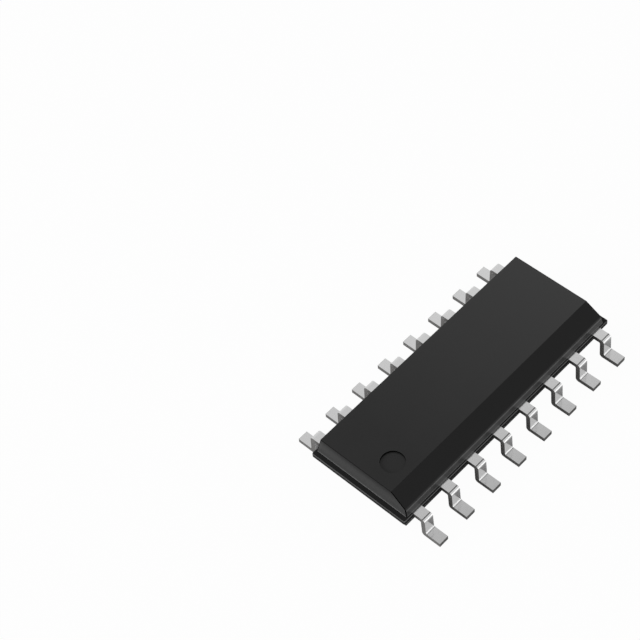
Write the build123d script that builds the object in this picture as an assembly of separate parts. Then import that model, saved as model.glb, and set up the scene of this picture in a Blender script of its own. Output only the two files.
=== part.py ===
"""Sixteen-lead small-outline integrated circuit: moulded body, lead frame, die and bond wires.

Millimetres. The origin is the middle of the seating plane, on which the sixteen feet stand. +X runs
along the two rows of leads, away from the end with the round mark, and +Z is up. Leads 1 to 8 are on
-Y, beside the bevelled edge, counted away from the mark, and leads 9 to 16 come back along +Y.
"""

import os
from math import copysign, cos, radians, tan

from build123d import *

# Lead frame, stamped from one strip
LEADS_PER_ROW = 8
LEAD_SPACING = 1.27  # pitch of the leads along a row
LEAD_WIDTH = 0.38
STRIP_THICKNESS = 0.17
STRIP_TOP = 0.855  # height of the strip's upper face where it leaves the body
LEAD_SPAN = 6.00  # from tip to tip across the part
FOOT_LENGTH = 0.565  # upper face of the foot, from the riser to the tip
RISER_LEAN = 2.5  # degrees from upright
OUTER_BEND_RADIUS = 0.12
INNER_BEND_RADIUS = 0.05

# Moulded body
BODY_HEIGHT = 1.55  # top face above the board
STANDOFF = 0.15  # gap between the board and the underside
FLANGE_WIDTH = 3.91
FLANGE_END = 0.615  # flange beyond the middle of a row's last lead
FLANGE_CORNER_RADIUS = 0.06
FLANGE_CHAMFER = 0.02
SIDE_RIM = 0.06  # how far the flange stands out from the walls
END_RIM = 0.18
SIDE_DRAFT = 12.5  # degrees from upright
END_DRAFT = 6.2
BEVEL_WIDTH = 0.52  # taken off the top face along the side of lead 1
BEVEL_DEPTH = 0.40
EDGE_RADIUS = 0.03

# Round mark by lead 1, and the marks that the ejector pins leave below
MARK_RADIUS = 0.41
MARK_DEPTH = 0.06
MARK_FROM_END = 0.85  # from the edge of the top face to the middle of the mark
MARK_FROM_BEVEL = 0.685
EJECTOR_RADIUS = 0.60
EJECTOR_DEPTH = 0.03
EJECTOR_SPACING = 5.60

# Die paddle, set down below the strip, with a tie bar at each end
PADDLE_LENGTH = 4.10
PADDLE_WIDTH = 2.24
PADDLE_DROP = 0.20
TIE_BAR_WIDTH = 0.30
TIE_BAR_FLAT = 0.10  # level stretch between the paddle and the ramp
TIE_BAR_RAMP = 45  # degrees
TIE_BAR_COVER = 0.10  # plastic between the tie bar's cut end and the end wall

# Inner fingers of the leads
FINGER_WIDTH = 0.30
FINGER_CLEARANCE = 0.22  # between a finger's tip and the paddle
FINGER_CORNER_LENGTH = 0.40  # each side of the corner that the diagonal cuts off
FINGER_SPACING = 0.55  # between the two fingers that reach round the paddle's end
TIE_BAR_CLEARANCE = 0.20  # between the outermost finger and the tie bar
EAR_WIDTH = 0.60  # ears that lock the lead in the plastic
EAR_LENGTH = 0.20
EAR_COVER = 0.10  # plastic outside the ears

# Die and its adhesive
DIE_LENGTH = 2.20
DIE_WIDTH = 1.50
DIE_THICKNESS = 0.28
ADHESIVE_THICKNESS = 0.025
ADHESIVE_MARGIN = 0.05  # the adhesive's rim round the die

# Bond wires, with flat facets in place of round sections this fine
WIRE_RADIUS = 0.015
WIRE_SIDES = 8
LOOP_RISE = 0.15  # top of the loop above the die
LOOP_KINK = 0.05  # run of the slanting stretch where the wire turns over the ball
LOOP_SHARE = 0.40  # part of the span that runs level before the wire goes down
BALL_RADIUS = 0.038
BALL_HEIGHT = 0.020
STITCH_RADIUS = 0.045
STITCH_HEIGHT = 0.020
STITCH_INSET = 0.13  # from the finger's tip to the stitch
BOND_INSET = 0.11  # from the die's edge to the ball
LONG_EDGE_SHARES = (0.27, 0.68)  # places of the balls between the middle and the end of an edge
SHORT_EDGE_SHARES = (0.56, 0.19)

# Sizes that follow
FLANGE_LENGTH = (LEADS_PER_ROW - 1) * LEAD_SPACING + 2 * FLANGE_END
WALL_LENGTH = FLANGE_LENGTH - 2 * END_RIM
WALL_WIDTH = FLANGE_WIDTH - 2 * SIDE_RIM
STRIP_BOTTOM = STRIP_TOP - STRIP_THICKNESS
PADDLE_TOP = STRIP_TOP - PADDLE_DROP
PADDLE_BOTTOM = STRIP_BOTTOM - PADDLE_DROP
DIE_BOTTOM = PADDLE_TOP + ADHESIVE_THICKNESS
DIE_TOP = DIE_BOTTOM + DIE_THICKNESS


def plate(outline, bottom, thickness):
    """Flat piece of this outline and thickness, with its underside at this height."""
    return extrude(Plane.XY.offset(bottom) * outline, amount=thickness)


def wall_section(distance):
    """Length and width between the drafted walls, at this distance above or below the flange."""
    length = WALL_LENGTH - 2 * distance * tan(radians(END_DRAFT))
    width = WALL_WIDTH - 2 * distance * tan(radians(SIDE_DRAFT))
    return length, width


def drafted_block(foot, face):
    """One half of the moulding, from the height of its foot at the flange to that of its outer face."""
    sections = [
        Plane.XY.offset(height) * Rectangle(*wall_section(abs(height - foot))) for height in (foot, face)
    ]
    return loft(Sketch() + sections)


def bevel_cutter():
    """Prism that takes the bevel off the upper edge on the side of lead 1."""
    bevel_foot = BODY_HEIGHT - BEVEL_DEPTH
    top_y = BEVEL_WIDTH - wall_section(BODY_HEIGHT - STRIP_TOP)[1] / 2
    foot_y = -wall_section(bevel_foot - STRIP_TOP)[1] / 2
    run = top_y - foot_y
    section = Polyline(
        (top_y + run, BODY_HEIGHT + BEVEL_DEPTH),
        (foot_y - run, bevel_foot - BEVEL_DEPTH),
        (foot_y - run, BODY_HEIGHT + BEVEL_DEPTH),
        close=True,
    )
    return extrude(Plane.YZ * make_face(section), amount=FLANGE_LENGTH / 2, both=True)


def round_mark():
    """Shallow sunk disc beside lead 1."""
    top_length, top_width = wall_section(BODY_HEIGHT - STRIP_TOP)
    x = MARK_FROM_END - top_length / 2
    y = MARK_FROM_BEVEL + BEVEL_WIDTH - top_width / 2
    return plate(Pos(x, y) * Circle(MARK_RADIUS), BODY_HEIGHT - MARK_DEPTH, 2 * MARK_DEPTH)


def ejector_marks():
    """Two faint sunk discs in the underside."""
    discs = GridLocations(EJECTOR_SPACING, 0, 2, 1) * Circle(EJECTOR_RADIUS)
    return plate(Sketch() + discs, 0, STANDOFF + EJECTOR_DEPTH)


def moulding():
    """Outer form of the body, solid, before the embedded pieces are taken out of it."""
    upper = drafted_block(STRIP_TOP, BODY_HEIGHT) - bevel_cutter()
    upper_edges = upper.edges().filter_by(lambda edge: edge.center().Z > STRIP_TOP + EDGE_RADIUS)
    lower = drafted_block(STRIP_BOTTOM, STANDOFF)
    lower_edges = lower.edges().filter_by(lambda edge: edge.center().Z < STRIP_BOTTOM - EDGE_RADIUS)
    rim = RectangleRounded(FLANGE_LENGTH, FLANGE_WIDTH, FLANGE_CORNER_RADIUS)
    flange = plate(rim, STRIP_BOTTOM, STRIP_THICKNESS)
    flange = chamfer(flange.edges() - flange.edges().filter_by(Axis.Z), FLANGE_CHAMFER)
    blocks = fillet(upper_edges, EDGE_RADIUS) + flange + fillet(lower_edges, EDGE_RADIUS)
    return blocks - round_mark() - ejector_marks()


def gull_wing(side):
    """Formed part of a lead at x = 0, from the ears in the plastic out to the tip of the foot."""
    root = WALL_WIDTH / 2 - EAR_COVER
    tip = LEAD_SPAN / 2
    lean = radians(RISER_LEAN)
    riser_foot = tip - FOOT_LENGTH
    riser_head = riser_foot - (STRIP_TOP - STRIP_THICKNESS) * tan(lean)
    back_step = STRIP_THICKNESS / cos(lean) - STRIP_THICKNESS * tan(lean)
    section = FilletPolyline(
        (side * root, STRIP_TOP),
        (side * riser_head, STRIP_TOP),
        (side * riser_foot, STRIP_THICKNESS),
        (side * tip, STRIP_THICKNESS),
        (side * tip, 0),
        (side * (riser_foot - back_step), 0),
        (side * (riser_head - back_step), STRIP_BOTTOM),
        (side * root, STRIP_BOTTOM),
        radius=[0, OUTER_BEND_RADIUS, INNER_BEND_RADIUS, 0, 0, OUTER_BEND_RADIUS, INNER_BEND_RADIUS, 0],
        close=True,
    )
    return extrude(Plane.YZ * make_face(section), amount=LEAD_WIDTH / 2, both=True)


def lead_places():
    """Place from the middle (0 to 3), end (-1 or 1) and side (-1 or 1) of leads 1 to 16."""
    offsets = [step - (LEADS_PER_ROW - 1) / 2 for step in range(LEADS_PER_ROW)]
    rows = [(offset, -1) for offset in offsets] + [(offset, 1) for offset in reversed(offsets)]
    return [(int(abs(offset)), int(copysign(1, offset)), side) for offset, side in rows]


def column(place):
    """Distance of a lead's middle line from the part's middle."""
    return LEAD_SPACING / 2 + place * LEAD_SPACING


def finger_route(place):
    """Middle line of a lead's inner finger, in the +X +Y quarter, from the body's wall to the tip."""
    x = column(place)
    root = (x, WALL_WIDTH / 2)
    if x < PADDLE_LENGTH / 2:
        return [root, (x, PADDLE_WIDTH / 2 + FINGER_CLEARANCE)]
    tip_x = PADDLE_LENGTH / 2 + FINGER_CLEARANCE
    tip_y = TIE_BAR_WIDTH / 2 + TIE_BAR_CLEARANCE + FINGER_WIDTH / 2
    if place < LEADS_PER_ROW // 2 - 1:
        tip_y += FINGER_SPACING
    return [root, (x, tip_y + FINGER_CORNER_LENGTH), (x - FINGER_CORNER_LENGTH, tip_y), (tip_x, tip_y)]


def finger(place, end, side):
    """Flat inner finger of a lead, with the ears that lock it in the plastic."""
    route = Polyline(*[(end * x, side * y) for x, y in finger_route(place)])
    ear_y = WALL_WIDTH / 2 - EAR_COVER - EAR_LENGTH / 2
    ears = Pos(end * column(place), side * ear_y) * Rectangle(EAR_WIDTH, EAR_LENGTH)
    return plate(trace(route, FINGER_WIDTH) + ears, STRIP_BOTTOM, STRIP_THICKNESS)


def lead(place, end, side):
    """One lead: the gull wing and the finger inside the body, in one piece."""
    return Pos(end * column(place), 0, 0) * gull_wing(side) + finger(place, end, side)


def tie_bar():
    """Strip from the paddle's +X end up to the level of the leads, cut off inside the body."""
    start = PADDLE_LENGTH / 2
    ramp_foot = start + TIE_BAR_FLAT
    ramp_head = ramp_foot + PADDLE_DROP / tan(radians(TIE_BAR_RAMP))
    under_shift = STRIP_THICKNESS * tan(radians(TIE_BAR_RAMP / 2))
    cut_end = WALL_LENGTH / 2 - TIE_BAR_COVER
    section = Polyline(
        (start, PADDLE_TOP),
        (ramp_foot, PADDLE_TOP),
        (ramp_head, STRIP_TOP),
        (cut_end, STRIP_TOP),
        (cut_end, STRIP_BOTTOM),
        (ramp_head + under_shift, STRIP_BOTTOM),
        (ramp_foot + under_shift, PADDLE_BOTTOM),
        (start, PADDLE_BOTTOM),
        close=True,
    )
    return extrude(Plane.XZ * make_face(section), amount=TIE_BAR_WIDTH / 2, both=True)


def die_paddle():
    """Plate under the die, in one piece with its two tie bars."""
    bed = plate(Rectangle(PADDLE_LENGTH, PADDLE_WIDTH), PADDLE_BOTTOM, STRIP_THICKNESS)
    return bed + tie_bar() + Rot(0, 0, 180) * tie_bar()


def die_adhesive():
    """Thin layer of glue that holds the die on the paddle."""
    outline = Rectangle(DIE_LENGTH + 2 * ADHESIVE_MARGIN, DIE_WIDTH + 2 * ADHESIVE_MARGIN)
    return plate(outline, PADDLE_TOP, ADHESIVE_THICKNESS)


def silicon_die():
    """Sawn silicon chip."""
    return plate(Rectangle(DIE_LENGTH, DIE_WIDTH), DIE_BOTTOM, DIE_THICKNESS)


def bond_points(place):
    """Where a lead's wire leaves the die and where it meets the finger, in the +X +Y quarter."""
    if place < len(LONG_EDGE_SHARES):
        ball = Vector(LONG_EDGE_SHARES[place] * DIE_LENGTH / 2, DIE_WIDTH / 2 - BOND_INSET)
    else:
        share = SHORT_EDGE_SHARES[place - len(LONG_EDGE_SHARES)]
        ball = Vector(DIE_LENGTH / 2 - BOND_INSET, share * DIE_WIDTH / 2)
    *_, before_tip, tip = [Vector(*point) for point in finger_route(place)]
    return ball, tip + (before_tip - tip).normalized() * STITCH_INSET


def bond_pad(spot, height, radius, thickness):
    """Metal squashed flat where the wire is welded on."""
    return plate(Pos(spot.X, spot.Y) * RegularPolygon(radius, WIRE_SIDES), height, thickness)


def bond_wire(place, end, side):
    """Gold wire: ball on the die, loop, and stitch on the finger's tip."""
    ball, stitch = [Vector(end * point.X, side * point.Y) for point in bond_points(place)]
    span = stitch - ball
    loop_top = DIE_TOP + LOOP_RISE
    loop = Polyline(
        (0, DIE_TOP + BALL_HEIGHT / 2),
        (0, loop_top - LOOP_KINK),
        (LOOP_KINK, loop_top),
        (span.length * LOOP_SHARE, loop_top),
        (span.length, STRIP_TOP + STITCH_HEIGHT),
    )
    path = Plane(origin=ball, x_dir=span, z_dir=span.cross(Vector(0, 0, 1))) * loop
    section = Plane(path @ 0, x_dir=span, z_dir=path % 0) * RegularPolygon(WIRE_RADIUS, WIRE_SIDES)
    wire = sweep(section, path=path, transition=Transition.RIGHT)
    ball_bond = bond_pad(ball, DIE_TOP, BALL_RADIUS, BALL_HEIGHT)
    stitch_bond = bond_pad(stitch, STRIP_TOP, STITCH_RADIUS, STITCH_HEIGHT)
    return wire + ball_bond + stitch_bond


def main():
    """Build every piece, mould the body round them, and write one file a piece."""
    pieces = {"die_paddle": die_paddle(), "die_adhesive": die_adhesive(), "silicon_die": silicon_die()}
    for number, (place, end, side) in enumerate(lead_places(), start=1):
        pieces[f"lead_{number:02d}"] = lead(place, end, side)
        pieces[f"bond_wire_{number:02d}"] = bond_wire(place, end, side)
    pieces["package_body"] = moulding() - list(pieces.values())
    os.makedirs("parts", exist_ok=True)
    for node, solid in pieces.items():
        export_step(solid, f"parts/{node}.step")


main()
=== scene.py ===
"""Sixteen-lead small-outline integrated circuit, dressed for a studio picture.

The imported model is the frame: metres, origin in the middle of the plane on which the feet stand, +X along
the rows away from the round mark, -Y the bevelled side, +Z up. The moulded body, the leads, the paddle,
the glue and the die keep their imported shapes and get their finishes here, and the glue gets soft edges.
The bond wires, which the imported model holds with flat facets, are drawn again as round wire.
"""

import logging
import math
from dataclasses import dataclass, field
from enum import Enum

import bmesh
import bpy
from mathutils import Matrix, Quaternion, Vector


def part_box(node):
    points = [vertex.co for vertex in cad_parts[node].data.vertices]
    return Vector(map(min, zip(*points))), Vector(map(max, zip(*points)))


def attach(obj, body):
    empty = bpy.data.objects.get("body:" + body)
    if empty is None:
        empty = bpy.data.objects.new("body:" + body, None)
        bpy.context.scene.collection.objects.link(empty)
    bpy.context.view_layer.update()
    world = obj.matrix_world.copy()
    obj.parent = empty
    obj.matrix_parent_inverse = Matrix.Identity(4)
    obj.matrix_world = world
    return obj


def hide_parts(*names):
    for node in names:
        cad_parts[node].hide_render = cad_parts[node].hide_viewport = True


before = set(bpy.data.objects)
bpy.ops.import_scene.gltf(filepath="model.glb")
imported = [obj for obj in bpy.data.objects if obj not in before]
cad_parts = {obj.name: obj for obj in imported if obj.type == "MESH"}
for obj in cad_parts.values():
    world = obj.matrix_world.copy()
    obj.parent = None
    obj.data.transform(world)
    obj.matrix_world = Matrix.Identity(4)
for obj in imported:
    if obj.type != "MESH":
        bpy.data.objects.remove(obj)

LOG = logging.getLogger("integrated_circuit")
MM = 0.001
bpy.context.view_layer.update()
BODY_TOP_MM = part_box("package_body")[1].z / MM
STRIP_TOP_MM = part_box("lead_01")[1].z / MM
STRIP_MM = 0.170  # thickness of the strip that leads and paddle are stamped from
LEAD_TIP_MM = -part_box("lead_01")[0].y / MM  # from the middle line out

Tree = bpy.types.NodeTree
Socket = bpy.types.NodeSocket


class Seen(Enum):
    """Rays to which the table and the room show as a backdrop."""

    CAMERA = "Is Camera Ray"
    GLOSSY = "Is Glossy Ray"
    TRANSMISSION = "Is Transmission Ray"


def linear(colour: str) -> tuple[float, float, float, float]:
    """Turns a colour as it is written in sRGB into the linear values that the shaders take.

    Args:
        colour: Hex value such as "#2A2A2B".

    Returns:
        Linear red, green and blue, and an alpha of 1.
    """
    channels = [int(colour[i : i + 2], 16) / 255 for i in (1, 3, 5)]
    red, green, blue = [c / 12.92 if c <= 0.04045 else ((c + 0.055) / 1.055) ** 2.4 for c in channels]
    return red, green, blue, 1.0


def add(
    tree: Tree,
    kind: str,
    settings: dict[str | int, object] | None = None,
    links: dict[str | int, Socket] | None = None,
) -> bpy.types.Node:
    """Adds a node with its settings and links.

    Args:
        tree: Node tree of a material or world.
        kind: Blender's name of the node.
        settings: Properties and socket values by name, or by the number of the socket.
        links: Sockets of other nodes by the name or number of the input that they feed.

    Returns:
        The new node.
    """
    node = tree.nodes.new(kind)
    for name, value in (settings or {}).items():
        if isinstance(name, str) and hasattr(node, name):
            setattr(node, name, value)
        else:
            node.inputs[name].default_value = value
    for name, socket in (links or {}).items():
        tree.links.new(socket, node.inputs[name])
    return node


def new_tree(name: str) -> tuple[bpy.types.Material, Tree, Socket]:
    """Starts a material.

    Args:
        name: Name of the material.

    Returns:
        The material, its empty node tree, and the part's own coordinates in metres.
    """
    material = bpy.data.materials.new(name)
    material.use_nodes = True
    tree = material.node_tree
    tree.nodes.clear()
    place = add(tree, "ShaderNodeTexCoord").outputs["Object"]
    return material, tree, place


def noise(tree: Tree, place: Socket, size_mm: float, detail: float, fine_share: float = 0.6) -> Socket:
    """Adds a cloudy pattern.

    Args:
        tree: Node tree of the material.
        place: Coordinates in metres.
        size_mm: Width of the largest clouds.
        detail: How many finer layers lie on them.
        fine_share: Strength of each finer layer against the one before.

    Returns:
        The pattern, from 0 to 1.
    """
    settings = {"Scale": 1 / (size_mm * MM), "Detail": detail, "Roughness": fine_share}
    return add(tree, "ShaderNodeTexNoise", settings, {"Vector": place}).outputs["Fac"]


def mix(tree: Tree, share: Socket, first: object, second: object) -> Socket:
    """Adds a mix of two colours, each a value or the socket of another node.

    Args:
        tree: Node tree of the material.
        share: Share of the second colour.
        first: First colour.
        second: Second colour.

    Returns:
        The mixed colour.
    """
    node = add(tree, "ShaderNodeMix", {"data_type": "RGBA"}, {0: share})
    # the node's colour sockets come after those for numbers and vectors
    for number, colour in ((6, first), (7, second)):
        if isinstance(colour, Socket):
            tree.links.new(colour, node.inputs[number])
        else:
            node.inputs[number].default_value = colour
    return node.outputs[2]


def ramp(tree: Tree, value: Socket, start: float, end: float, smooth: bool = False) -> Socket:
    """Adds a rise from 0 to 1 between two levels of a value.

    Args:
        tree: Node tree of the material.
        value: The value.
        start: Level of the value up to which the rise is 0.
        end: Level from which it is 1.
        smooth: Whether the rise starts and ends softly.

    Returns:
        The rise.
    """
    settings = {"From Min": start, "From Max": end}
    if smooth:
        settings["interpolation_type"] = "SMOOTHSTEP"
    return add(tree, "ShaderNodeMapRange", settings, {"Value": value}).outputs[0]


def spread(tree: Tree, value: Socket, low: float, high: float) -> Socket:
    """Adds a change of a value's range from 0 to 1 into this one.

    Args:
        tree: Node tree of the material.
        value: Value from 0 to 1.
        low: What 0 becomes.
        high: What 1 becomes.

    Returns:
        The changed value.
    """
    return add(tree, "ShaderNodeMapRange", {"To Min": low, "To Max": high}, {"Value": value}).outputs[0]


def swung(tree: Tree, pattern: Socket, middle: float, swing: float) -> Socket:
    """Adds a value that a pattern swings about its middle.

    Args:
        tree: Node tree of the material.
        pattern: Pattern from 0 to 1.
        middle: Middle of the value.
        swing: How far the value goes to either side.

    Returns:
        The value.
    """
    return spread(tree, pattern, middle - swing, middle + swing)


def opposite(tree: Tree, mask: Socket) -> Socket:
    """Adds a mask's opposite.

    Args:
        tree: Node tree of the material.
        mask: Mask from 0 to 1.

    Returns:
        1 where the mask is 0, and 0 where it is 1.
    """
    return spread(tree, mask, 1.0, 0.0)


def overlaid(tree: Tree, mask: Socket, value: Socket, cover: float) -> Socket:
    """Adds a value that gives way to an even one where a mask says so.

    Args:
        tree: Node tree of the material.
        mask: Where the even value holds.
        value: The value elsewhere.
        cover: The even value.

    Returns:
        The joined value.
    """
    return add(tree, "ShaderNodeMix", {"data_type": "FLOAT", 3: cover}, {0: mask, 2: value}).outputs[0]


def beyond(tree: Tree, value: Socket, limit: float, below: bool = False) -> Socket:
    """Adds a test of a value against a limit.

    Args:
        tree: Node tree of the material.
        value: Value that is tested.
        limit: Where the answer changes.
        below: Whether the values under the limit count, and not those over it.

    Returns:
        1 where the value counts, or else 0.
    """
    test = "LESS_THAN" if below else "GREATER_THAN"
    return add(tree, "ShaderNodeMath", {"operation": test, 1: limit}, {0: value}).outputs[0]


def joined(tree: Tree, operation: str, *masks: Socket) -> Socket:
    """Adds nodes that join masks into one.

    Args:
        tree: Node tree of the material.
        operation: MULTIPLY for where all of them hold, or MAXIMUM for where any does.
        masks: The masks.

    Returns:
        The joined mask.
    """
    result = masks[0]
    for mask in masks[1:]:
        result = add(tree, "ShaderNodeMath", {"operation": operation}, {0: result, 1: mask}).outputs[0]
    return result


def absolute(tree: Tree, value: Socket) -> Socket:
    """Adds a value without its sign.

    Args:
        tree: Node tree of the material.
        value: Value of either sign.

    Returns:
        The value's size.
    """
    return add(tree, "ShaderNodeMath", {"operation": "ABSOLUTE"}, {0: value}).outputs[0]


def raised(tree: Tree, height: Socket, depth_mm: float) -> Socket:
    """Adds fine relief.

    Args:
        tree: Node tree of the material.
        height: Pattern of the relief, from 0 to 1.
        depth_mm: Height that 1 stands for.

    Returns:
        The normal of the surface with the relief.
    """
    settings = {"Strength": 1.0, "Distance": depth_mm * MM}
    return add(tree, "ShaderNodeBump", settings, {"Height": height}).outputs[0]


def principled(tree: Tree, settings: dict[str | int, object], links: dict[str | int, Socket]) -> None:
    """Adds the shader and the output of a material.

    Args:
        tree: Node tree of the material.
        settings: Even values of the shader.
        links: Patterns by the input that they feed.
    """
    shader = add(tree, "ShaderNodeBsdfPrincipled", settings, links)
    add(tree, "ShaderNodeOutputMaterial", links={"Surface": shader.outputs[0]})


@dataclass(frozen=True)
class Spot:
    """Where a spot of a surface lies, and which way it looks, as sockets of its material."""

    x: Socket
    y: Socket
    height: Socket
    turn_x: Socket
    turn_y: Socket
    slope: Socket  # upward part of the normal: 1 for a level face, 0 for an upright one

    @classmethod
    def read(cls, tree: Tree, place: Socket) -> "Spot":
        """Adds the nodes that tell the spot's place and normal.

        Args:
            tree: Node tree of the material.
            place: Coordinates in metres.

        Returns:
            The spot.
        """
        normal = add(tree, "ShaderNodeNewGeometry").outputs["Normal"]
        lies = add(tree, "ShaderNodeSeparateXYZ", links={0: place}).outputs
        looks = add(tree, "ShaderNodeSeparateXYZ", links={0: normal}).outputs
        return cls(*lies, *looks)


@dataclass(frozen=True)
class BodyZones:
    """Zones of the body, each a mask from 0 to 1: states that the mould leaves, and painted light and shade.
    """

    walls: Socket  # between the flange and the top face
    sleek: Socket  # the bevel, and the edges of the top face
    matt: Socket  # the flange: dead matt, and painted darker as shade
    painted_highlights: Socket  # painted highlights along the ends of the walls and the flange's outer edge
    hollow_shade: Socket  # painted shade: corners between two walls, and the wall of the round mark, blackened and without gloss
    far: Socket  # painted light on the top face, the more so the farther from the mark
    dim: Socket  # share of the gloss that is lost, at the head of the walls and on the edges over the ends


@dataclass(frozen=True)
class MouldedEpoxy:
    """Black epoxy moulding compound, pressed in a spark-eroded mould.

    Carbon black makes it a neutral near-black. The eroded steel prints a fine matt grain on it, so that its
    gloss is broad and dim. The bevel and the edges come off smoother steel and stay darker. Light and shade
    are painted into its colour: the walls darker at their head and lighter towards their foot, the top face
    lighter away from the mark, thin highlights along the ends of the walls and the flange's outer edge,
    shade on the flange, which is also dead matt where the mould's halves meet, and near black in the
    corners between walls and on the round mark's wall.
    """

    name: str = "black_epoxy_moulded"
    colour: str = "#1A1A1A"
    filler_colour: str = "#232323"  # where the silica filler comes nearer to the surface
    painted_far_light_colour: str = "#2E2E2E"  # painted light: the top face is painted lighter the farther it lies from the marked end
    # painted shade at the head of the walls, and painted light at their foot
    wall_head_shade_colour: str = "#121212"
    wall_foot_light_colour: str = "#3C3C3C"
    # painted highlights: thin light lines along the ends of the walls and the flange's outer edge
    painted_highlight_colour: str = "#585858"
    sleek_colour: str = "#1A1A1A"
    # painted shade: the flange is painted darker than the plain resin
    flange_shade_colour: str = "#0D0D0D"
    # painted shade: corners between walls and the round mark's wall are painted near black
    hollow_shade_colour: str = "#030303"
    specular_level: float = 0.25  # the filled resin's skin is rough on a scale too fine to draw
    sleek_specular_level: float = 0.12
    roughness: float = 0.32
    roughness_swing: float = 0.05
    matt_roughness: float = 0.80
    ior: float = 1.52
    grain_mm: float = 0.050  # the mould's erosion pits are 0.02 mm; drawn coarser to show
    grain_height_mm: float = 0.0010
    grain_layers: float = 3.0
    cloud_mm: float = 1.4  # width of the clouds that the filled resin leaves as it flows
    cloud_layers: float = 4.0
    far_light_span_mm: tuple[float, float] = (-3.5, 4.8)  # along X, from where the painted light on the top face starts to where it is full
    walls_from_mm: tuple[float, float] = (4.75, 1.70)  # from the middle out, along X and Y
    top_mm: float = BODY_TOP_MM
    bevel_foot_mm: float = BODY_TOP_MM - 0.400
    bevel_gap_mm: float = 0.020  # the bevel's zone starts this far above its foot
    flange_mm: tuple[float, float] = (STRIP_TOP_MM - STRIP_MM, STRIP_TOP_MM)
    hair_mm: float = 0.005  # zones reach this far past the heights that bound them
    head_mm: float = 0.25  # the steel's polish carries over the top edge this far down the walls
    head_dimming: float = 0.60
    highlight_foot_mm: tuple[float, float] = (0.010, 0.040)  # above the flange
    highlight_head_mm: tuple[float, float] = (0.070, 0.040)  # below the bevel
    highlight_at_marked_end: float = 0.45  # strength of the painted highlight on the flange's edge at the marked end, against the bevelled side's
    steep_slopes: tuple[float, float] = (0.40, 0.24)  # where a face starts to count as a wall, and fully does
    oblique_slopes: tuple[float, float] = (0.30, 0.95)  # the bevel and rounded edges lie between these
    overhang_slope: float = -0.4  # the flange's underside looks further down than this, and isn't matt
    corner_turn: float = 0.15  # a corner looks at least this much towards both axes
    facing_turn: float = 0.30  # an end or side looks at least this much its own way

    def material(self) -> bpy.types.Material:
        """Builds the node tree of the moulded plastic.

        Returns:
            The material.
        """
        material, tree, place = new_tree(self.name)
        grain = noise(tree, place, self.grain_mm, self.grain_layers)
        clouds = noise(tree, place, self.cloud_mm, self.cloud_layers)
        spot = Spot.read(tree, place)
        zones = self.zones(tree, spot)
        filler = joined(tree, "MULTIPLY", grain, clouds)
        gloss = spread(tree, zones.sleek, self.specular_level, self.sleek_specular_level)
        # painted shade also takes the gloss off the corners and the round mark's wall
        gloss = joined(tree, "MULTIPLY", gloss, opposite(tree, zones.hollow_shade), opposite(tree, zones.dim))
        even = swung(tree, grain, self.roughness, self.roughness_swing)
        principled(
            tree,
            {"IOR": self.ior},
            {
                "Base Color": self.coloured(tree, spot, zones, filler),
                "Roughness": overlaid(tree, zones.matt, even, self.matt_roughness),
                "Specular IOR Level": gloss,
                "Normal": raised(tree, grain, self.grain_height_mm),
            },
        )
        return material

    def zones(self, tree: Tree, spot: Spot) -> BodyZones:
        """Finds the zones from where each spot lies and which way it looks.

        Args:
            tree: Node tree of the material.
            spot: The spot.

        Returns:
            The zones.
        """
        flange = self.band(tree, spot.height, *self.flange_mm)
        above = beyond(tree, spot.height, (self.flange_mm[1] + self.hair_mm) * MM)
        outside = self.outside(tree, spot)
        steep = ramp(tree, spot.slope, *self.steep_slopes)
        walls = joined(tree, "MULTIPLY", steep, outside, above)
        turned = [beyond(tree, absolute(tree, turn), self.corner_turn) for turn in (spot.turn_x, spot.turn_y)]
        corners = joined(tree, "MULTIPLY", outside, above, *turned)
        mark_wall = joined(tree, "MULTIPLY", steep, opposite(tree, outside), above)
        low, high = self.oblique_slopes
        level = beyond(tree, spot.slope, high)
        tilted = beyond(tree, spot.slope, high, below=True)
        oblique = joined(tree, "MULTIPLY", beyond(tree, spot.slope, low), tilted)
        past_bevel = beyond(tree, spot.height, (self.bevel_foot_mm + self.bevel_gap_mm) * MM)
        sleek = joined(tree, "MULTIPLY", oblique, past_bevel)
        overhung = beyond(tree, spot.slope, self.overhang_slope, below=True)
        # painted light: the top face is painted lighter along X, away from the mark
        far_light_rise = ramp(tree, spot.x, self.far_light_span_mm[0] * MM, self.far_light_span_mm[1] * MM)
        return BodyZones(
            walls=walls,
            sleek=sleek,
            matt=joined(tree, "MULTIPLY", flange, opposite(tree, overhung)),
            painted_highlights=self.painted_highlights(tree, spot, walls, joined(tree, "MULTIPLY", oblique, flange)),
            hollow_shade=joined(tree, "MAXIMUM", corners, mark_wall),
            far=joined(tree, "MULTIPLY", far_light_rise, level, past_bevel),
            dim=self.dim(tree, spot, walls, sleek),
        )

    def painted_highlights(self, tree: Tree, spot: Spot, walls: Socket, flange_edges: Socket) -> Socket:
        """Marks where highlights are painted: thin light lines along the ends of the walls and the flange's
        outer edge.

        Args:
            tree: Node tree of the material.
            spot: The spot.
            walls: Mask of the walls.
            flange_edges: Mask of the flange's rounded edges.

        Returns:
            The painted highlights.
        """
        front = beyond(tree, spot.turn_y, -self.facing_turn, below=True)
        marked_end = beyond(tree, spot.turn_x, -self.facing_turn, below=True)
        foot = self.band(tree, spot.height, *(self.flange_mm[1] + step for step in self.highlight_foot_mm))
        head = self.band(tree, spot.height, *(self.bevel_foot_mm - step for step in self.highlight_head_mm))
        ends = joined(tree, "MAXIMUM", foot, joined(tree, "MULTIPLY", head, front))
        share = joined(tree, "MAXIMUM", front, spread(tree, marked_end, 0.0, self.highlight_at_marked_end))
        edges = joined(tree, "MULTIPLY", flange_edges, share)
        return joined(tree, "MAXIMUM", edges, joined(tree, "MULTIPLY", walls, ends))

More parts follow.
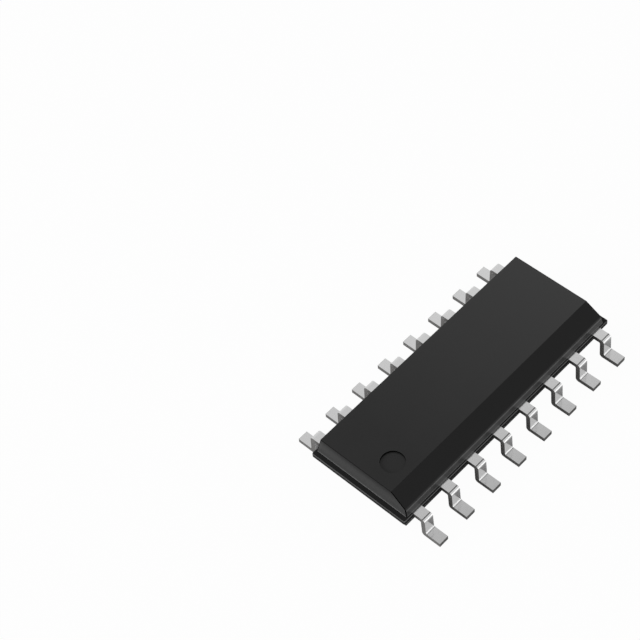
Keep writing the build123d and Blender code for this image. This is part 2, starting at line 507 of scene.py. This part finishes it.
    def dim(self, tree: Tree, spot: Spot, walls: Socket, sleek: Socket) -> Socket:
        """Marks where gloss is lost: at the head of the walls, and on the edges over the end walls.

        Args:
            tree: Node tree of the material.
            spot: The spot.
            walls: Mask of the walls.
            sleek: Mask of the bevel and the edges.

        Returns:
            Share of the gloss that is lost.
        """
        near_top = ramp(tree, spot.height, (self.top_mm - self.head_mm) * MM, self.top_mm * MM)
        head = joined(tree, "MULTIPLY", walls, spread(tree, near_top, 0.0, self.head_dimming))
        over_end = beyond(tree, absolute(tree, spot.turn_x), self.facing_turn)
        return joined(tree, "MAXIMUM", head, joined(tree, "MULTIPLY", sleek, over_end))

    def coloured(self, tree: Tree, spot: Spot, zones: BodyZones, filler: Socket) -> Socket:
        """Lays the zones' colours, painted light and shade among them, over that of the plain resin.

        Args:
            tree: Node tree of the material.
            spot: The spot.
            zones: The zones.
            filler: Share of the filler's colour.

        Returns:
            The colour.
        """
        # painted light and shade: the walls are painted darker at their head and lighter towards their foot
        down = ramp(tree, spot.height, self.top_mm * MM, self.flange_mm[1] * MM)
        wall = mix(tree, down, linear(self.wall_head_shade_colour), linear(self.wall_foot_light_colour))
        layers = (
            (filler, linear(self.filler_colour)),
            (zones.far, linear(self.painted_far_light_colour)),
            (zones.walls, wall),
            (zones.sleek, linear(self.sleek_colour)),
            (zones.matt, linear(self.flange_shade_colour)),
            (zones.painted_highlights, linear(self.painted_highlight_colour)),
            (zones.hollow_shade, linear(self.hollow_shade_colour)),
        )
        colour = linear(self.colour)
        for zone, tone in layers:
            colour = mix(tree, zone, colour, tone)
        return colour

    def outside(self, tree: Tree, spot: Spot) -> Socket:
        """Marks what lies outside the top face, where the walls and the flange are.

        Args:
            tree: Node tree of the material.
            spot: The spot.

        Returns:
            1 outside the top face, or else 0.
        """
        past_x = beyond(tree, absolute(tree, spot.x), self.walls_from_mm[0] * MM)
        past_y = beyond(tree, absolute(tree, spot.y), self.walls_from_mm[1] * MM)
        return joined(tree, "MAXIMUM", past_x, past_y)

    def band(self, tree: Tree, height: Socket, low_mm: float, high_mm: float) -> Socket:
        """Marks a range of heights, a hair beyond its two limits.

        Args:
            tree: Node tree of the material.
            height: Height in metres.
            low_mm: Foot of the range.
            high_mm: Top of the range.

        Returns:
            1 within the range, or else 0.
        """
        over = beyond(tree, height, (low_mm - self.hair_mm) * MM)
        under = beyond(tree, height, (high_mm + self.hair_mm) * MM, below=True)
        return joined(tree, "MULTIPLY", over, under)


@dataclass(frozen=True)
class TinnedStrip:
    """Copper alloy strip, stamped, with matt tin plated on what stands out of the body.

    The fine crystals of matt tin scatter a light grey, soft gloss. The sheared sides and tips are torn and
    take little plating, so they are dull, and their grey is painted darker as shade, the more so next to the
    body. Inside the body the copper alloy is bare, with a silver spot plated on the tips of the fingers for
    the bonds.
    """

    name: str = "tinned_copper_strip"
    tin: str = "#E2E2E2"
    # dull grey of the torn sheared sides and tips, painted darker still as shade
    sheared_and_shaded: str = "#6F6E6D"
    painted_body_shade: str = "#4C4B4A"  # painted shade: the sheared sides are painted darker next to the body
    copper: str = "#C98F6B"
    silver: str = "#E6E4DE"
    roughness: float = 0.14
    roughness_swing: float = 0.05
    sheared_roughness: float = 0.50
    sheared_metallic: float = 0.60  # torn and oxidised, it scatters as much as it mirrors
    crystal_mm: float = 0.030  # matt tin's crystals are 0.005 mm; drawn coarser to show
    crystal_height_mm: float = 0.0004
    crystal_layers: float = 4.0
    side_turn: float = 0.9  # a sheared side looks at least this much along X
    plated_from_mm: float = 1.885  # from the middle line out, where the strip leaves the plastic
    silver_length_mm: float = 5.5
    silver_width_mm: float = 3.2
    body_shade_mm: tuple[float, float] = (2.05, 2.30)  # where the painted shade next to the body fades, from the middle line out
    tip_mm: float = LEAD_TIP_MM - 0.005  # beyond this the sheared tip faces lie

    def material(self) -> bpy.types.Material:
        """Builds the node tree of the plated strip.

        Returns:
            The material.
        """
        material, tree, place = new_tree(self.name)
        crystals = noise(tree, place, self.crystal_mm, self.crystal_layers)
        position = add(tree, "ShaderNodeSeparateXYZ", links={0: place})
        out_x, out_y = [absolute(tree, position.outputs[axis]) for axis in (0, 1)]
        normal = add(tree, "ShaderNodeNewGeometry").outputs["True Normal"]
        turn_x = add(tree, "ShaderNodeSeparateXYZ", links={0: normal}).outputs[0]
        at_side = beyond(tree, absolute(tree, turn_x), self.side_turn)
        at_tip = beyond(tree, out_y, self.tip_mm * MM)
        cut = joined(tree, "MAXIMUM", at_side, at_tip)
        past_x = beyond(tree, out_x, self.silver_length_mm / 2 * MM)
        past_y = beyond(tree, out_y, self.silver_width_mm / 2 * MM)
        past_spot = joined(tree, "MAXIMUM", past_x, past_y)
        inner = mix(tree, past_spot, linear(self.silver), linear(self.copper))
        # painted shade: the sheared sides darken towards the body
        out_of_body_shade = ramp(tree, out_y, self.body_shade_mm[0] * MM, self.body_shade_mm[1] * MM)
        torn = mix(tree, out_of_body_shade, linear(self.painted_body_shade), linear(self.sheared_and_shaded))
        outer = mix(tree, cut, linear(self.tin), torn)
        metal = mix(tree, beyond(tree, out_y, self.plated_from_mm * MM), inner, outer)
        even = swung(tree, crystals, self.roughness, self.roughness_swing)
        principled(
            tree,
            {},
            {
                "Base Color": metal,
                "Metallic": spread(tree, cut, 1.0, self.sheared_metallic),
                "Roughness": overlaid(tree, cut, even, self.sheared_roughness),
                "Normal": raised(tree, crystals, self.crystal_height_mm),
            },
        )
        return material


@dataclass(frozen=True)
class SilverGlue:
    """Epoxy glue full of silver flakes, dispensed as a paste and cured.

    The flakes lie under a thin skin of resin, so the layer is a dull mid grey with fine bright specks.
    """

    name: str = "silver_filled_glue"
    resin: str = "#8F8C86"
    flake: str = "#C9C7C2"
    roughness: float = 0.55
    metallic: float = 0.6
    flake_mm: float = 0.020  # flakes are 0.005 mm; drawn coarser to show
    flake_height_mm: float = 0.0020

    def material(self) -> bpy.types.Material:
        """Builds the node tree of the cured glue.

        Returns:
            The material.
        """
        material, tree, place = new_tree(self.name)
        flakes = add(tree, "ShaderNodeTexVoronoi", {"Scale": 1 / (self.flake_mm * MM)}, {"Vector": place})
        colour = mix(tree, flakes.outputs["Distance"], linear(self.flake), linear(self.resin))
        bump = raised(tree, flakes.outputs["Distance"], self.flake_height_mm)
        principled(
            tree,
            {"Metallic": self.metallic, "Roughness": self.roughness},
            {"Base Color": colour, "Normal": bump},
        )
        return material


@dataclass(frozen=True)
class SawnSilicon:
    """Silicon wafer, polished and patterned on top, sawn apart at the sides.

    Under its clear glass the top is a smooth slate grey with faint blocks of circuitry. The saw leaves
    the sides a matt grey with fine level lines.
    """

    name: str = "sawn_silicon"
    field_colour: str = "#4C5358"
    block_colour: str = "#5D6468"
    line_colour: str = "#6E7578"
    sawn_colour: str = "#62656A"
    polished_roughness: float = 0.16
    sawn_roughness: float = 0.48
    metallic: float = 0.55
    block_length_mm: float = 0.260
    block_width_mm: float = 0.120
    wide_every: int = 3  # one row in this many has longer blocks
    wide_times: float = 1.7
    line_mm: float = 0.012
    saw_line_mm: float = 0.020
    saw_waver: float = 1.5
    saw_height_mm: float = 0.0008
    top_slope: float = 0.5  # the patterned top looks at least this much upward

    def material(self) -> bpy.types.Material:
        """Builds the node tree of the chip.

        Returns:
            The material.
        """
        material, tree, place = new_tree(self.name)
        blocks = add(
            tree,
            "ShaderNodeTexBrick",
            {
                "offset": 0.0,
                "squash": self.wide_times,
                "squash_frequency": self.wide_every,
                "Scale": 1 / MM,
                "Brick Width": self.block_length_mm,
                "Row Height": self.block_width_mm,
                "Mortar Size": self.line_mm,
                "Color1": linear(self.field_colour),
                "Color2": linear(self.block_colour),
                "Mortar": linear(self.line_colour),
            },
            {"Vector": place},
        )
        normal = add(tree, "ShaderNodeNewGeometry").outputs["True Normal"]
        slope = add(tree, "ShaderNodeSeparateXYZ", links={0: normal}).outputs[2]
        is_top = beyond(tree, slope, self.top_slope)
        # at a scale of 1 the wave repeats every tau / 20 units
        saw_scale = math.tau / 20 / (self.saw_line_mm * MM)
        waver = {"bands_direction": "Z", "Scale": saw_scale, "Distortion": self.saw_waver}
        lines = add(tree, "ShaderNodeTexWave", waver, {"Vector": place})
        colour = mix(tree, is_top, linear(self.sawn_colour), blocks.outputs["Color"])
        dull = spread(tree, is_top, self.sawn_roughness, self.polished_roughness)
        bump = raised(tree, lines.outputs["Fac"], self.saw_height_mm)
        patterns = {"Base Color": colour, "Roughness": dull, "Normal": bump}
        principled(tree, {"Metallic": self.metallic}, patterns)
        return material


@dataclass(frozen=True)
class GoldWire:
    """Fine gold wire, drawn through diamond dies.

    Drawing leaves it bright and warm yellow, with marks too fine for the eye that soften the gloss.
    """

    name: str = "drawn_gold_wire"
    colour: str = "#F2C566"
    worn_colour: str = "#E3B253"
    roughness: float = 0.20
    roughness_swing: float = 0.05
    mark_mm: float = 0.010
    mark_height_mm: float = 0.0003
    mark_layers: float = 3.0

    def material(self) -> bpy.types.Material:
        """Builds the node tree of the wire.

        Returns:
            The material.
        """
        material, tree, place = new_tree(self.name)
        marks = noise(tree, place, self.mark_mm, self.mark_layers)
        colour = mix(tree, marks, linear(self.colour), linear(self.worn_colour))
        dull = swung(tree, marks, self.roughness, self.roughness_swing)
        bump = raised(tree, marks, self.mark_height_mm)
        principled(tree, {"Metallic": 1.0}, {"Base Color": colour, "Roughness": dull, "Normal": bump})
        return material


@dataclass(frozen=True)
class RoundedEdges:
    """Soft edges of a cured paste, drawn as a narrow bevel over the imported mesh, which stays as it is."""

    width_mm: float
    segments: int = 2
    from_degrees: float = 40.0  # sharper edges than this are cut
    joint_mm: float = 0.0005  # corners of facets nearer than this are one
    plane_degrees: float = 0.5  # facets that differ by less lie in one plane

    def put_on(self, piece: bpy.types.Object) -> None:
        """Adds the modifiers: facets of one plane are joined first, so that only true edges are cut.

        Args:
            piece: Object whose edges are softened.
        """
        weld = piece.modifiers.new("join_facets", "WELD")
        weld.merge_threshold = self.joint_mm * MM
        plane = piece.modifiers.new("one_face_a_plane", "DECIMATE")
        plane.decimate_type = "DISSOLVE"
        plane.angle_limit = math.radians(self.plane_degrees)
        edges = piece.modifiers.new("soft_edges", "BEVEL")
        edges.width = self.width_mm * MM
        edges.segments = self.segments
        edges.limit_method = "ANGLE"
        edges.angle_limit = math.radians(self.from_degrees)
        shade = piece.modifiers.new("even_shading", "WEIGHTED_NORMAL")
        shade.keep_sharp = True


def dress(node: str, finish: bpy.types.Material, edges: RoundedEdges | None = None) -> None:
    """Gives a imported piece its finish, and softer edges where it has them.

    Args:
        node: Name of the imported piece.
        finish: Material of the whole piece.
        edges: How its edges are softened, or none for a piece that has them in its own shape.
    """
    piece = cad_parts[node]
    piece.data.materials.clear()
    piece.data.materials.append(finish)
    if edges:
        edges.put_on(piece)
    LOG.info("dressed %s", node)


@dataclass
class MouldedBody:
    """Plastic body with its flange, bevel, round mark and ejector marks."""

    node: str = "package_body"
    finish: MouldedEpoxy = field(default_factory=MouldedEpoxy)

    def build(self) -> None:
        """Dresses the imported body, whose edges are rounded in its own shape."""
        dress(self.node, self.finish.material())


@dataclass
class LeadFrame:
    """Sixteen leads and the paddle with its tie bars, all stamped from one strip."""

    leads: int = 16
    paddle: str = "die_paddle"
    finish: TinnedStrip = field(default_factory=TinnedStrip)

    def build(self) -> None:
        """Dresses the leads and the paddle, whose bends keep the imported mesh's own shading."""
        strip = self.finish.material()
        for number in range(1, self.leads + 1):
            dress(f"lead_{number:02d}", strip)
        dress(self.paddle, strip)


@dataclass
class Chip:
    """Silicon die and the glue under it."""

    die: str = "silicon_die"
    glue: str = "die_adhesive"
    silicon: SawnSilicon = field(default_factory=SawnSilicon)
    adhesive: SilverGlue = field(default_factory=SilverGlue)
    glue_edges: RoundedEdges = field(default_factory=lambda: RoundedEdges(width_mm=0.008))

    def build(self) -> None:
        """Dresses the die, which the saw leaves sharp, and the glue."""
        dress(self.die, self.silicon.material())
        dress(self.glue, self.adhesive.material(), self.glue_edges)


@dataclass
class BondWires:
    """Sixteen round gold wires with a ball on the die and a flat stitch on the finger.

    Places are written for the +X +Y quarter, from the middle of a row to its end, and mirrored into the
    other three.
    """

    leads_per_row: int = 8
    balls_mm: tuple[tuple[float, float], ...] = (
        (0.297, 0.640),
        (0.748, 0.640),
        (0.990, 0.420),
        (0.990, 0.1425),
    )
    stitches_mm: tuple[tuple[float, float], ...] = (
        (0.635, 1.470),
        (1.905, 1.470),
        (2.400, 1.050),
        (2.400, 0.500),
    )
    die: str = "silicon_die"
    radius_mm: float = 0.015
    loop_rise_mm: float = 0.150
    rise_share: float = 2.0  # the wire's own roundness starts this many ball heights up
    kink_mm: float = 0.050  # reach of the tight turn over the ball
    fall_mm: float = 0.150  # reach of the wide turn down to the finger
    level_share: float = 0.40
    ball_radius_mm: float = 0.038
    ball_height_mm: float = 0.020
    stitch_length_mm: float = 0.090
    stitch_width_mm: float = 0.080
    stitch_height_mm: float = 0.014
    ball_profile: tuple[tuple[float, float], ...] = (  # shares of the ball's height and radius
        (0.0, 0.80),
        (0.25, 1.0),
        (0.70, 1.0),
        (1.0, 0.80),
    )
    neck: tuple[float, float] = (1.15, 1.25)  # share of the ball's height, and of the wire's radius
    stitch_profile: tuple[tuple[float, float, float], ...] = (  # shares of its length, width and height
        (-0.15, 1.0, 1.0),
        (0.25, 1.0, 1.0),
        (0.50, 0.5, 0.6),
    )
    sides: int = 14
    corner_steps: int = 6
    finish: GoldWire = field(default_factory=GoldWire)

    def places(self) -> list[tuple[int, int, int]]:
        """Lists the leads in their numbers' order.

        Returns:
            For each lead its place from the middle, its end and its side as signs of X and Y.
        """
        half = self.leads_per_row // 2
        row = [(half - 1 - step, -1) for step in range(half)] + [(step, 1) for step in range(half)]
        return [(place, end, -1) for place, end in row] + [(place, end, 1) for place, end in reversed(row)]

    def build(self) -> None:
        """Draws every wire in the place of its packed one."""
        gold = self.finish.material()
        for number, (place, end, side) in enumerate(self.places(), start=1):
            spots = (self.balls_mm[place], self.stitches_mm[place])
            ball, stitch = [Vector((end * x, side * y, 0)) for x, y in spots]
            wire = self.wire(f"gold_wire_{number:02d}", ball, stitch)
            wire.data.materials.append(gold)
            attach(wire, "root")
            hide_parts(f"bond_wire_{number:02d}")
            LOG.info("built %s", wire.name)

    def rounded(self, corners: list[Vector], reach: list[float]) -> list[Vector]:
        """Rounds the inner corners of a path.

        Args:
            corners: Corners of the path.
            reach: How far from each inner corner its curve starts and ends.

        Returns:
            Points along the rounded path.
        """
        points = [corners[0]]
        for before, corner, after, length in zip(corners, corners[1:], corners[2:], reach):
            start = corner + (before - corner).normalized() * length
            end = corner + (after - corner).normalized() * length
            for step in range(self.corner_steps + 1):
                t = step / self.corner_steps
                points.append(start * (1 - t) ** 2 + corner * 2 * t * (1 - t) + end * t**2)
        return points + [corners[-1]]

    def stations(self, span: float) -> list[tuple[Vector, float, float]]:
        """Lays out one wire in its own upright plane, along the span and up.

        Args:
            span: Level distance from the ball to the stitch.

        Returns:
            Points of the middle line with the half width and half height of the section at each.
        """
        die_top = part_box(self.die)[1].z / MM
        loop_top = die_top + self.loop_rise_mm
        radius = self.radius_mm
        tip = Vector((span - self.stitch_length_mm / 2, STRIP_TOP_MM + self.stitch_height_mm))
        corners = [
            Vector((0.0, die_top + self.rise_share * self.ball_height_mm)),
            Vector((0.0, loop_top)),
            Vector((span * self.level_share, loop_top)),
            tip,
        ]
        path = self.rounded(corners, [self.kink_mm, self.fall_mm])
        widths = [(up, share * self.ball_radius_mm) for up, share in self.ball_profile]
        widths.append((self.neck[0], self.neck[1] * radius))
        bond = [(Vector((0.0, die_top + up * self.ball_height_mm)), wide, wide) for up, wide in widths]
        flat = self.stitch_height_mm / 2
        stitch = [
            (
                Vector((span + along * self.stitch_length_mm, STRIP_TOP_MM + flat)),
                wide * self.stitch_width_mm / 2,
                high * flat,
            )
            for along, wide, high in self.stitch_profile
        ]
        return bond + [(point, radius, radius) for point in path] + stitch

    def wire(self, name: str, ball: Vector, stitch: Vector) -> bpy.types.Object:
        """Draws one wire as a single closed tube.

        Args:
            name: Name of the piece.
            ball: Middle of the ball, in millimetres on the plan.
            stitch: Middle of the stitch, in millimetres on the plan.

        Returns:
            The wire object.
        """
        along = (stitch - ball).normalized()
        across = Vector((0, 0, 1)).cross(along)
        stations = self.stations((stitch - ball).length)
        shape = bmesh.new()
        rings = []
        for index, (point, wide, high) in enumerate(stations):
            before, after = stations[max(index - 1, 0)][0], stations[min(index + 1, len(stations) - 1)][0]
            run = (after - before).normalized()
            up = Vector((0, 0, 1)) * run.x - along * run.y
            middle = ball + along * point.x + Vector((0, 0, 1)) * point.y
            turns = [math.tau * step / self.sides for step in range(self.sides)]
            ring = [middle + across * wide * math.cos(turn) + up * high * math.sin(turn) for turn in turns]
            rings.append([shape.verts.new(corner * MM) for corner in ring])
        for lower, upper in zip(rings, rings[1:]):
            for step in range(self.sides):
                turned = (step + 1) % self.sides
                shape.faces.new((lower[step], lower[turned], upper[turned], upper[step])).smooth = True
        for end in (rings[0], rings[-1]):
            shape.faces.new(end)
        bmesh.ops.recalc_face_normals(shape, faces=shape.faces)
        data = bpy.data.meshes.new(name)
        shape.to_mesh(data)
        shape.free()
        piece = bpy.data.objects.new(name, data)
        bpy.context.scene.collection.objects.link(piece)
        return piece


@dataclass
class PhotoCamera:
    """Camera that stands where the photograph's stood, found from the outlines of the part."""

    place_mm: Vector = field(default_factory=lambda: Vector((-24.705, -21.754, 47.443)))
    aim_mm: Vector = field(default_factory=lambda: Vector((-0.580, 5.871, 0.0)))
    roll_degrees: float = -7.27
    focal_mm: float = 99.2
    sensor_mm: float = 36.0
    sight_mm: tuple[float, float] = (1.0, 10_000.0)  # what is nearer or farther isn't drawn

    def build(self) -> bpy.types.Object:
        """Makes the scene's camera.

        Returns:
            The camera object.
        """
        data = bpy.data.cameras.new("camera")
        data.lens = self.focal_mm
        data.sensor_width = self.sensor_mm
        data.clip_start, data.clip_end = [reach * MM for reach in self.sight_mm]
        camera = bpy.data.objects.new("camera", data)
        bpy.context.scene.collection.objects.link(camera)
        turn = (self.aim_mm - self.place_mm).to_track_quat("-Z", "Y")
        roll = Quaternion((0, 0, 1), math.radians(self.roll_degrees))
        camera.rotation_mode = "QUATERNION"
        camera.rotation_quaternion = turn @ roll
        camera.location = self.place_mm * MM
        bpy.context.scene.camera = camera
        return camera


@dataclass
class Panel:
    """Soft light panel, aimed at the part."""

    name: str
    direction: tuple[float, float, float]
    distance_mm: float
    height_mm: float
    radiance: float
    stretch: float = 1.0  # width over height

    def build(self) -> bpy.types.Object:
        """Hangs the panel.

        Returns:
            The lamp object.
        """
        data = bpy.data.lights.new(self.name, "AREA")
        data.shape = "RECTANGLE"
        data.size_y = self.height_mm * MM
        data.size = self.stretch * data.size_y
        data.energy = self.radiance * math.pi * data.size * data.size_y
        lamp = bpy.data.objects.new(self.name, data)
        bpy.context.scene.collection.objects.link(lamp)
        towards = Vector(self.direction).normalized()
        lamp.location = towards * self.distance_mm * MM
        lamp.rotation_mode = "QUATERNION"
        lamp.rotation_quaternion = (-towards).to_track_quat("-Z", "Y")
        return lamp


@dataclass(frozen=True)
class RoomArea:
    """Round part of the room that is dimmer than its walls, seen from the table."""

    middle: tuple[float, float, float]
    edge: float  # cosine of the angle from its middle to where the walls' brightness begins
    full: float  # cosine of the angle within which it has its own brightness
    brightness: float  # against the walls


@dataclass
class Studio:
    """White table in a pale room that is dimmer overhead, and two soft panels."""

    floor_width_mm: float = 900.0
    floor_colour: str = "#B8B8B8"
    shadow_reach_mm: float = 2.5  # how far round the part its shade dims the table in reflections
    shadow_floor: float = 0.90  # share of open sky at which the table looks black in them
    shadow_samples: int = 16
    # share of the backdrop's white in what each kind of ray sees of the table
    backdrop_share: dict[Seen, float] = field(
        default_factory=lambda: {Seen.CAMERA: 0.97, Seen.GLOSSY: 0.80, Seen.TRANSMISSION: 0.97}
    )
    walls: float = 0.80  # brightness of the room round the table, where 1 is white
    areas: tuple[RoomArea, ...] = (
        RoomArea((0.42, 0.05, 0.906), edge=0.95, full=0.98, brightness=0.15),
        RoomArea((0.25, 0.25, 0.93), edge=0.955, full=0.985, brightness=0.82),
    )
    panels: tuple[Panel, ...] = (
        Panel("key_panel", (-0.80, 0.50, 0.33), distance_mm=220.0, height_mm=100.0, radiance=16.0),
        Panel(
            "front_panel",
            (0.10, -0.98, 0.10),
            distance_mm=260.0,
            height_mm=50.0,
            radiance=1.5,
            stretch=8.0,
        ),
    )

    def build(self) -> None:
        """Lays the table, hangs the panels and sets the world and the view."""
        self.lay_table()
        for panel in self.panels:
            panel.build()
            LOG.info("lamp %s", panel.name)
        self.fill_world()
        bpy.context.scene.view_settings.view_transform = "Standard"

    def lay_table(self) -> bpy.types.Object:
        """Makes the table top: white to the camera but for a trace of shadow, and shaded in reflections.

        Returns:
            The table object.
        """
        half = self.floor_width_mm / 2 * MM
        shape = bmesh.new()
        plan = ((-half, -half), (half, -half), (half, half), (-half, half))
        shape.faces.new([shape.verts.new((x, y, 0.0)) for x, y in plan])
        data = bpy.data.meshes.new("table")
        shape.to_mesh(data)
        shape.free()
        table = bpy.data.objects.new("table", data)
        bpy.context.scene.collection.objects.link(table)
        table.data.materials.append(self.table_material())
        return table

    def table_material(self) -> bpy.types.Material:
        """Builds the white table's material.

        Returns:
            The material.
        """
        material, tree, _ = new_tree("white_table")
        path = add(tree, "ShaderNodeLightPath")
        reach = {"samples": self.shadow_samples, "Distance": self.shadow_reach_mm * MM}
        open_sky = add(tree, "ShaderNodeAmbientOcclusion", reach).outputs["AO"]
        shade = ramp(tree, open_sky, self.shadow_floor, 1.0)
        shares = []
        for ray, part in self.backdrop_share.items():
            seen = spread(tree, path.outputs[ray.value], 0.0, part)
            shares.append(seen if ray is Seen.CAMERA else joined(tree, "MULTIPLY", seen, shade))
        share = joined(tree, "MAXIMUM", *shares)
        lit = add(tree, "ShaderNodeBsdfDiffuse", {"Color": linear(self.floor_colour)})
        white = add(tree, "ShaderNodeEmission", {"Strength": 1.0})
        mixed = add(tree, "ShaderNodeMixShader", links={0: share, 1: lit.outputs[0], 2: white.outputs[0]})
        add(tree, "ShaderNodeOutputMaterial", links={"Surface": mixed.outputs[0]})
        return material

    def fill_world(self) -> bpy.types.World:
        """Sets the light of the room: pale walls all round, with the areas that differ.

        Returns:
            The world.
        """
        world = bpy.data.worlds.new("room")
        world.use_nodes = True
        tree = world.node_tree
        tree.nodes.clear()
        direction = add(tree, "ShaderNodeTexCoord").outputs["Generated"]
        levels = []
        for area in self.areas:
            product = {"operation": "DOT_PRODUCT", 1: Vector(area.middle).normalized()}
            nearness = add(tree, "ShaderNodeVectorMath", product, {0: direction}).outputs["Value"]
            share = ramp(tree, nearness, area.edge, area.full, smooth=True)
            levels.append(spread(tree, share, 1.0, area.brightness))
        level = spread(tree, joined(tree, "MULTIPLY", *levels), 0.0, self.walls)
        path = add(tree, "ShaderNodeLightPath").outputs[Seen.CAMERA.value]
        seen = spread(tree, path, 0.0, self.backdrop_share[Seen.CAMERA])
        white = {"Color": linear("#FFFFFF")}
        fill = add(tree, "ShaderNodeBackground", white, {"Strength": joined(tree, "MAXIMUM", level, seen)})
        add(tree, "ShaderNodeOutputWorld", links={"Surface": fill.outputs[0]})
        bpy.context.scene.world = world
        return world


def main() -> None:
    """Builds the camera, the studio and every piece."""
    logging.basicConfig(level=logging.INFO, format="%(message)s")
    PhotoCamera().build()
    Studio().build()
    for assembly in (MouldedBody(), LeadFrame(), Chip(), BondWires()):
        assembly.build()


if __name__ == "__main__":
    main()
